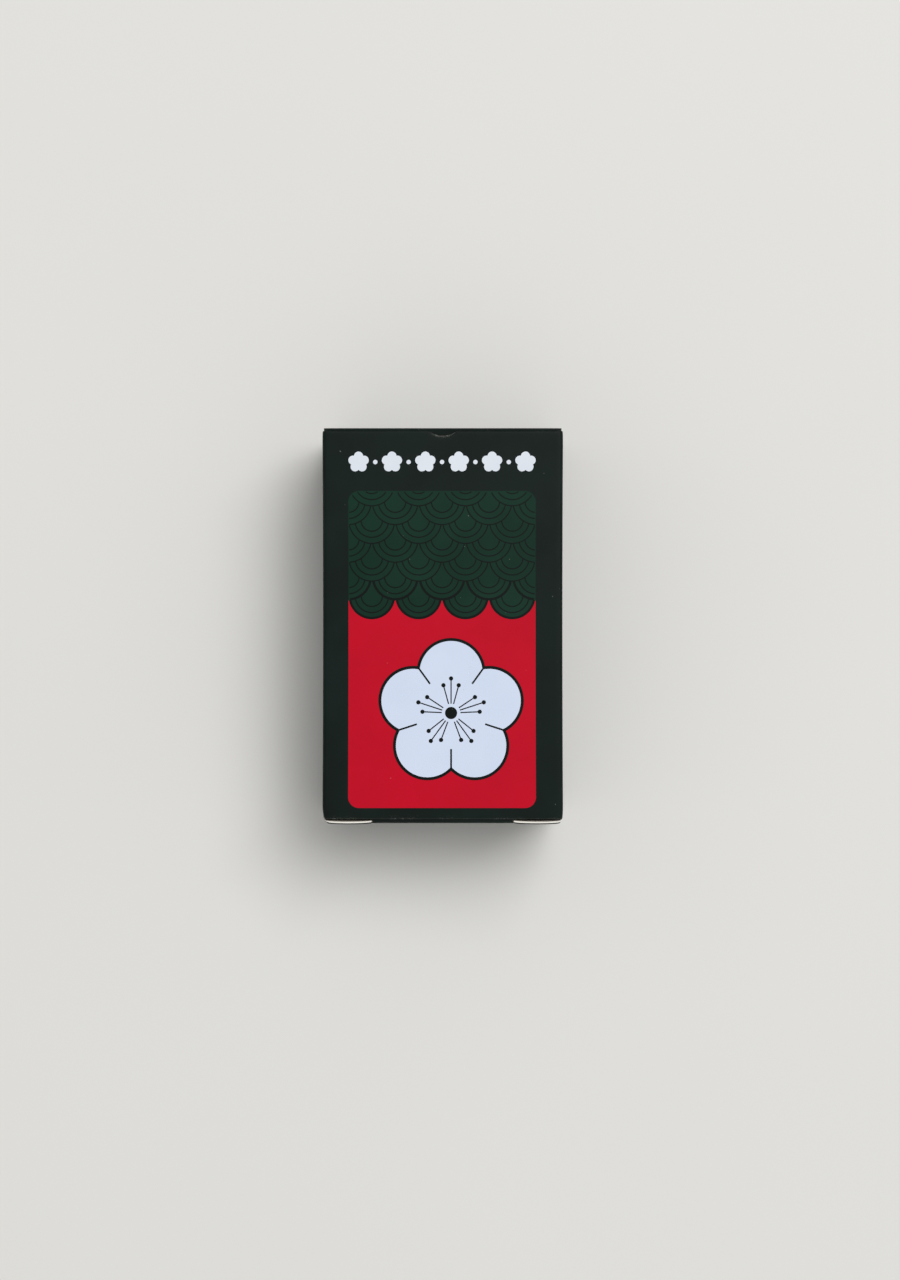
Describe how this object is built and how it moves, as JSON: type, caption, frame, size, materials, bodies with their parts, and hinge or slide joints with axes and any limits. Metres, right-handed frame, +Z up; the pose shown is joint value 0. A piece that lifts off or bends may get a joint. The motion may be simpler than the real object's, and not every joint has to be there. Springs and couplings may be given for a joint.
{
  "type": "boxed flower card deck",
  "caption": "Folded paperboard carton with a hinged tuck lid, a slit-lock bottom closure and dust flaps, holding a stacked deck of flower cards.",
  "frame": {"origin": "middle of the back panel's outer face, which the carton lies on", "axes": "+X across the carton to its right, +Y towards its top end, +Z up through the front panel"},
  "size_m": [0.0344, 0.0566, 0.023],
  "materials": {
    "printed_board": "satin",
    "card_stock": "satin"
  },
  "bodies": {
    "sleeve": {"front_panel": "printed_board", "back_panel": "printed_board", "left_side_panel": "printed_board", "right_side_panel": "printed_board"},
    "deck": {"card_pine_1": "card_stock", "card_pine_2": "card_stock", "card_pine_3": "card_stock", "card_pine_4": "card_stock", "card_plum_1": "card_stock", "card_plum_2": "card_stock", "card_plum_3": "card_stock", "card_plum_4": "card_stock", "card_cherry_1": "card_stock", "card_cherry_2": "card_stock", "card_cherry_3": "card_stock", "card_cherry_4": "card_stock", "card_wisteria_1": "card_stock", "card_wisteria_2": "card_stock", "card_wisteria_3": "card_stock", "card_wisteria_4": "card_stock", "card_iris_1": "card_stock", "card_iris_2": "card_stock", "card_iris_3": "card_stock", "card_iris_4": "card_stock", "card_peony_1": "card_stock", "card_peony_2": "card_stock", "card_peony_3": "card_stock", "card_peony_4": "card_stock", "card_bush_clover_1": "card_stock", "card_bush_clover_2": "card_stock", "card_bush_clover_3": "card_stock", "card_bush_clover_4": "card_stock", "card_pampas_1": "card_stock", "card_pampas_2": "card_stock", "card_pampas_3": "card_stock", "card_pampas_4": "card_stock", "card_chrysanthemum_1": "card_stock", "card_chrysanthemum_2": "card_stock", "card_chrysanthemum_3": "card_stock", "card_chrysanthemum_4": "card_stock", "card_maple_1": "card_stock", "card_maple_2": "card_stock", "card_maple_3": "card_stock", "card_maple_4": "card_stock", "card_willow_1": "card_stock", "card_willow_2": "card_stock", "card_willow_3": "card_stock", "card_willow_4": "card_stock", "card_paulownia_1": "card_stock", "card_paulownia_2": "card_stock", "card_paulownia_3": "card_stock", "card_paulownia_4": "card_stock"},
    "top_lid": {"top_lid": "printed_board"},
    "top_tuck_flap": {"top_tuck_flap": "printed_board"},
    "top_dust_flap_left": {"top_dust_flap_left": "printed_board"},
    "top_dust_flap_right": {"top_dust_flap_right": "printed_board"},
    "bottom_closure": {"bottom_closure": "printed_board"},
    "bottom_tuck_flap": {"bottom_tuck_flap": "printed_board"},
    "bottom_dust_flap_left": {"bottom_dust_flap_left": "printed_board"},
    "bottom_dust_flap_right": {"bottom_dust_flap_right": "printed_board"}
  },
  "joints": [
    {"name": "deck_slide", "type": "slide", "parent": "sleeve", "child": "deck", "axis": [0, 1, 0], "range_m": [-0.0004, 0.0004]},
    {"name": "top_lid_hinge", "type": "hinge", "parent": "sleeve", "child": "top_lid", "pos_m": [0, 0.0281, 0.0002], "axis": [-1, 0, 0], "range_deg": [0, 90]},
    {"name": "top_tuck_crease", "type": "hinge", "parent": "top_lid", "child": "top_tuck_flap", "pos_m": [0, 0.0281, 0.02219], "axis": [-1, 0, 0], "range_deg": [-27, 0]},
    {"name": "top_dust_crease_left", "type": "hinge", "parent": "sleeve", "child": "top_dust_flap_left", "pos_m": [-0.01705, 0.02765, 0.01149], "axis": [0, 0, 1], "range_deg": [0, 51.3]},
    {"name": "top_dust_crease_right", "type": "hinge", "parent": "sleeve", "child": "top_dust_flap_right", "pos_m": [0.01705, 0.02765, 0.01149], "axis": [0, 0, -1], "range_deg": [0, 51.3]},
    {"name": "bottom_closure_hinge", "type": "hinge", "parent": "sleeve", "child": "bottom_closure", "pos_m": [0, -0.0281, 0.0002], "axis": [1, 0, 0], "range_deg": [0, 90]},
    {"name": "bottom_tuck_crease", "type": "hinge", "parent": "bottom_closure", "child": "bottom_tuck_flap", "pos_m": [0, -0.0281, 0.02219], "axis": [1, 0, 0], "range_deg": [-27, 0]},
    {"name": "bottom_dust_crease_left", "type": "hinge", "parent": "sleeve", "child": "bottom_dust_flap_left", "pos_m": [-0.01705, -0.02765, 0.01149], "axis": [0, 0, -1], "range_deg": [0, 51.3]},
    {"name": "bottom_dust_crease_right", "type": "hinge", "parent": "sleeve", "child": "bottom_dust_flap_right", "pos_m": [0.01705, -0.02765, 0.01149], "axis": [0, 0, 1], "range_deg": [0, 51.3]}
  ],
  "couplings": [
    {"joint": "top_tuck_crease", "follows": "top_lid_hinge", "ratio": -0.3},
    {"joint": "top_dust_crease_left", "follows": "top_lid_hinge", "ratio": 0.57},
    {"joint": "top_dust_crease_right", "follows": "top_lid_hinge", "ratio": 0.57},
    {"joint": "bottom_tuck_crease", "follows": "bottom_closure_hinge", "ratio": -0.3},
    {"joint": "bottom_dust_crease_left", "follows": "bottom_closure_hinge", "ratio": 0.57},
    {"joint": "bottom_dust_crease_right", "follows": "bottom_closure_hinge", "ratio": 0.57}
  ]
}
